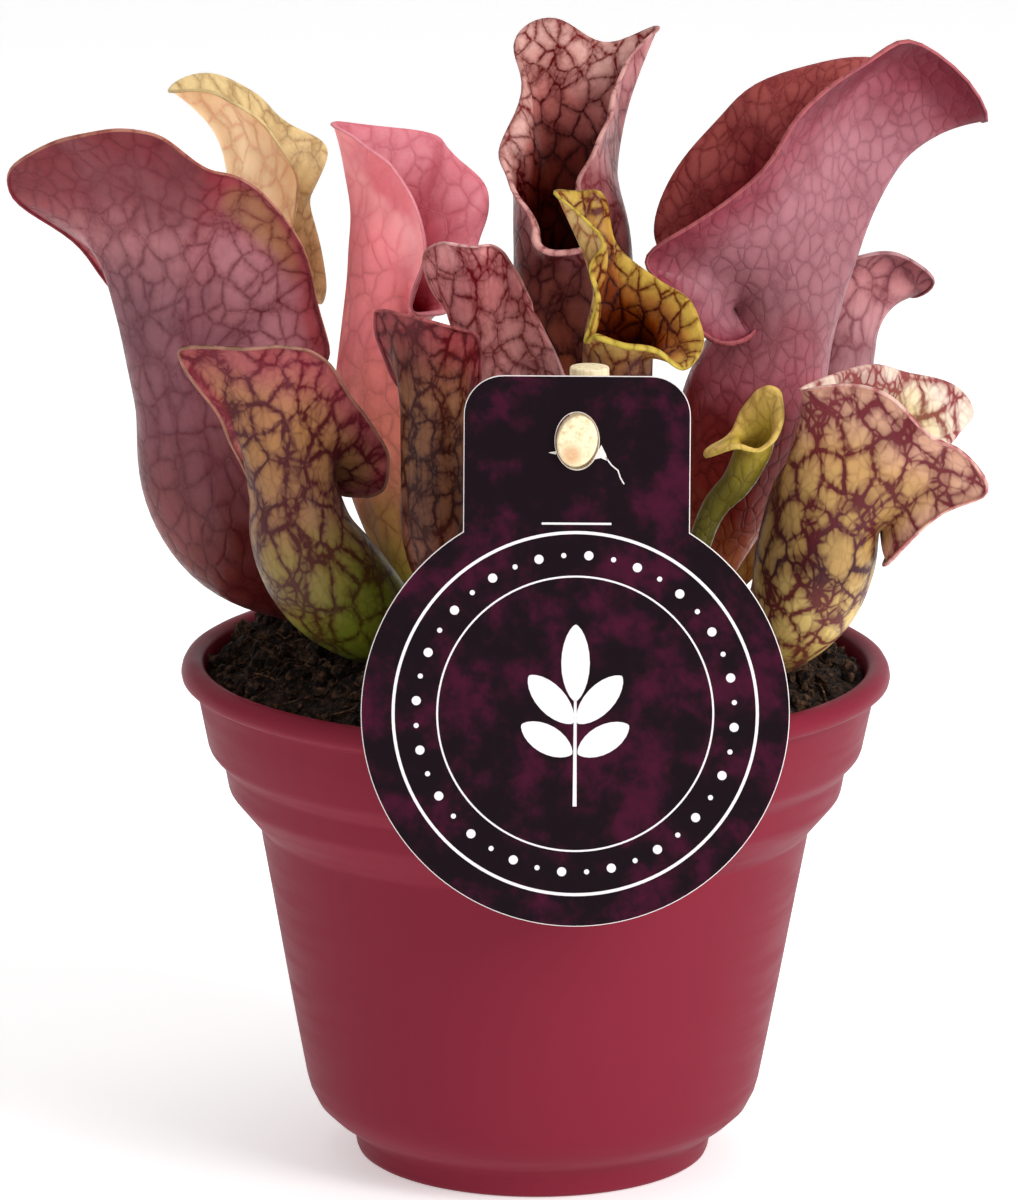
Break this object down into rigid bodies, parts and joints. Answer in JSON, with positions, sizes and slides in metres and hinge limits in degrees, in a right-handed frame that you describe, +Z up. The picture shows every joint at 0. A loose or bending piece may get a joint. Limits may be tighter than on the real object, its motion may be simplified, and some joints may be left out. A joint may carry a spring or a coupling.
{
  "type": "potted pitcher plant",
  "caption": "Clump of upright pitcher leaves with flaring hoods, growing from a heap of dark soil in a tapered round plastic pot, with a round hanging tag card on a wooden stake",
  "frame": {"origin": "centre of the pot's flat base, on the surface it stands on", "axes": "+Z up; the tag card hangs on the -Y side; +X is to the right seen from the tag card"},
  "size_m": [0.163, 0.1249, 0.1911],
  "materials": {
    "pot": "satin moulded plastic",
    "soil": "crumbly peat",
    "tag_card": "coated printed card",
    "stake": "bare sawn dowel",
    "peg": "bare end grain",
    "pitcher_left_large": "waxy veined leaf",
    "pitcher_left_back": "waxy veined leaf",
    "pitcher_coral": "waxy leaf",
    "pitcher_dark_front": "waxy veined leaf",
    "pitcher_mauve_folded": "waxy veined leaf",
    "pitcher_tall_centre": "glossy veined leaf",
    "pitcher_small_centre": "waxy veined leaf",
    "pitcher_right_large": "waxy leaf",
    "pitcher_right_back": "waxy veined leaf",
    "pitcher_right_front": "waxy veined leaf",
    "pitcher_young": "waxy young leaf",
    "pitcher_left_front": "waxy veined leaf"
  },
  "bodies": {
    "root": {"pot": "pot", "soil": "soil", "tag_card": "tag_card", "stake": "stake", "peg": "peg", "pitcher_left_large": "pitcher_left_large", "pitcher_left_back": "pitcher_left_back", "pitcher_coral": "pitcher_coral", "pitcher_dark_front": "pitcher_dark_front", "pitcher_mauve_folded": "pitcher_mauve_folded", "pitcher_tall_centre": "pitcher_tall_centre", "pitcher_small_centre": "pitcher_small_centre", "pitcher_right_large": "pitcher_right_large", "pitcher_right_back": "pitcher_right_back", "pitcher_right_front": "pitcher_right_front", "pitcher_young": "pitcher_young", "pitcher_left_front": "pitcher_left_front"}
  },
  "joints": []
}
